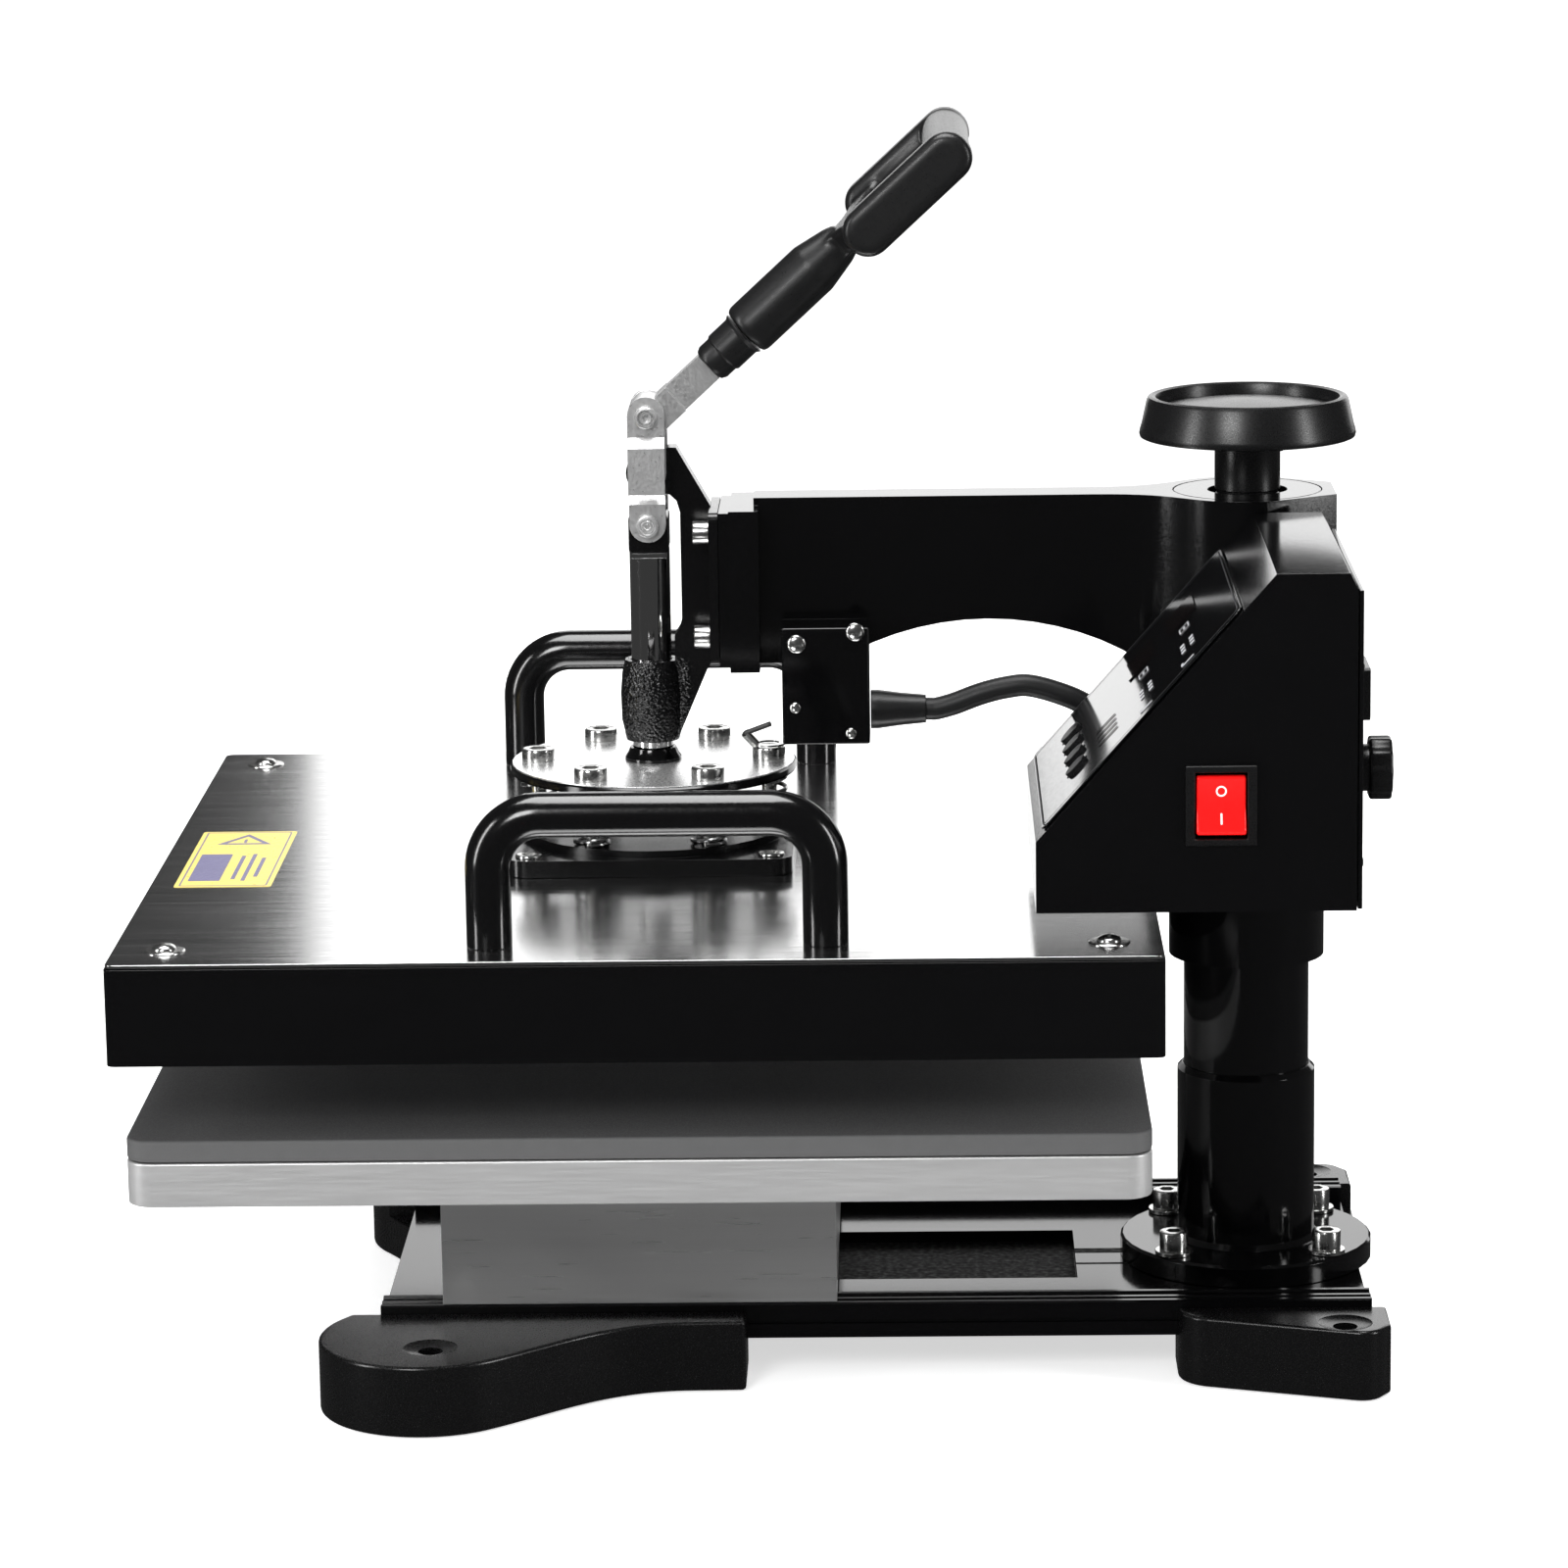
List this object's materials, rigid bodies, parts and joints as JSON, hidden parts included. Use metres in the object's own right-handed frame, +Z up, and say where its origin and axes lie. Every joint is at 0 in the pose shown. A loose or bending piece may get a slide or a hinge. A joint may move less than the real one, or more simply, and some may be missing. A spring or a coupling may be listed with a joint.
{
  "type": "heat press",
  "caption": "Swing-away flat heat press: square heated upper platen on a swinging arm, lever toggle, pressure knob, padded lower platen, control box and footed base.",
  "frame": {"origin": "centre of the bounding box's underside, on the surface that the feet stand on", "axes": "+Z up; +Y from the operator's side to the column; +X to the control box's side"},
  "size_m": [0.39, 0.4816, 0.4839],
  "materials": {
    "black_paint": "gloss black powder coat",
    "black_cast": "gloss black paint on a cast surface",
    "black_plastic": "satin black moulded plastic",
    "black_rubber": "satin black rubber",
    "grey_silicone": "matt dark grey silicone sheet",
    "aluminium": "matt milled aluminium",
    "brushed_steel": "brushed stainless steel sheet",
    "chrome": "bright chrome plate",
    "zinc_steel": "bright zinc and nickel plated steel",
    "red_plastic": "gloss translucent red plastic",
    "circuit_board": "green solder resist",
    "mineral_board": "pale fibre insulation"
  },
  "bodies": {
    "base": {"base_rail_left": "black_paint", "base_rail_right": "black_paint", "base_plate": "black_paint", "foot_front_left": "black_cast", "foot_front_right": "black_cast", "foot_rear_left": "black_cast", "foot_rear_right": "black_cast", "pedestal": "brushed_steel", "lower_platen": "aluminium", "silicone_pad": "grey_silicone", "column_base": "black_paint", "column_tube": "black_paint", "column_nut": "zinc_steel", "flange_screw_1": "zinc_steel", "flange_screw_2": "zinc_steel", "flange_screw_3": "zinc_steel", "flange_screw_4": "zinc_steel"},
    "lift": {"thrust_collar": "zinc_steel"},
    "knob": {"pressure_knob": "black_plastic", "lift_screw": "zinc_steel"},
    "arm": {"swing_arm": "black_paint", "hub_cap": "black_paint", "head_bracket": "black_cast", "lever_pivot_pin": "zinc_steel", "connector_box": "black_paint", "strain_relief": "black_rubber", "heater_cable": "black_rubber", "control_box_shell": "black_paint", "control_box_back": "black_paint", "control_panel": "black_plastic", "controller_board": "circuit_board", "rocker_bezel": "black_plastic", "power_inlet": "black_plastic", "fuse_cap": "black_plastic"},
    "rocker": {"power_rocker": "red_plastic"},
    "key_1": {"panel_key_1": "black_plastic"},
    "key_2": {"panel_key_2": "black_plastic"},
    "key_3": {"panel_key_3": "black_plastic"},
    "key_4": {"panel_key_4": "black_plastic"},
    "lever": {"lever_bar": "zinc_steel", "lever_collar": "black_plastic", "lever_handle": "black_rubber"},
    "link": {"link_plate_left": "zinc_steel", "link_plate_right": "zinc_steel", "link_pin": "zinc_steel"},
    "press": {"press_shaft": "chrome", "spring_disc": "chrome", "disc_bolt_1": "zinc_steel", "disc_bolt_2": "zinc_steel", "disc_bolt_3": "zinc_steel", "disc_bolt_4": "zinc_steel", "disc_bolt_5": "zinc_steel", "disc_bolt_6": "zinc_steel", "spring_seat": "black_cast", "platen_cover": "black_paint", "cover_sheet": "brushed_steel", "heating_plate": "aluminium", "insulation_board": "mineral_board", "side_grip_left": "black_paint", "side_grip_right": "black_paint"}
  },
  "joints": [
    {"name": "arm_lift", "type": "slide", "parent": "base", "child": "lift", "axis": [0, 0, 1], "range_m": [0, 0.012]},
    {"name": "pressure_knob_turn", "type": "hinge", "parent": "lift", "child": "knob", "pos_m": [0, 0.1902, 0.3745], "axis": [0, 0, 1], "range_deg": [0, 2160]},
    {"name": "arm_swing", "type": "hinge", "parent": "lift", "child": "arm", "pos_m": [0, 0.1902, 0.271], "axis": [0, 0, 1], "continuous": true},
    {"name": "lever_pull", "type": "hinge", "parent": "arm", "child": "lever", "pos_m": [0, -0.0458, 0.3468], "axis": [1, 0, 0], "range_deg": [0, 117]},
    {"name": "link_swing", "type": "hinge", "parent": "lever", "child": "link", "pos_m": [0, -0.0458, 0.3698], "axis": [1, 0, 0], "range_deg": [-88.54, 0]},
    {"name": "press_down", "type": "slide", "parent": "arm", "child": "press", "axis": [0, 0, -1], "range_m": [0, 0.02824]},
    {"name": "key_1_push", "type": "slide", "parent": "arm", "child": "key_1", "axis": [0, 0.747, -0.6648], "range_m": [0, 0.001], "stiffness_N_per_m": 400, "springref_m": -0.002},
    {"name": "key_2_push", "type": "slide", "parent": "arm", "child": "key_2", "axis": [0, 0.747, -0.6648], "range_m": [0, 0.001], "stiffness_N_per_m": 400, "springref_m": -0.002},
    {"name": "key_3_push", "type": "slide", "parent": "arm", "child": "key_3", "axis": [0, 0.747, -0.6648], "range_m": [0, 0.001], "stiffness_N_per_m": 400, "springref_m": -0.002},
    {"name": "key_4_push", "type": "slide", "parent": "arm", "child": "key_4", "axis": [0, 0.747, -0.6648], "range_m": [0, 0.001], "stiffness_N_per_m": 400, "springref_m": -0.002},
    {"name": "power_rocker_tilt", "type": "hinge", "parent": "arm", "child": "rocker", "pos_m": [0.1753, 0.1702, 0.2473], "axis": [0, 1, 0], "range_deg": [0, 16]}
  ],
  "couplings": [
    {"joint": "pressure_knob_turn", "follows": "arm_lift", "rad_per_m": 3141},
    {"joint": "link_swing", "follows": "press_down", "rad_per_m": -54.713},
    {"joint": "lever_pull", "follows": "press_down", "rad_per_m": 72.3}
  ]
}
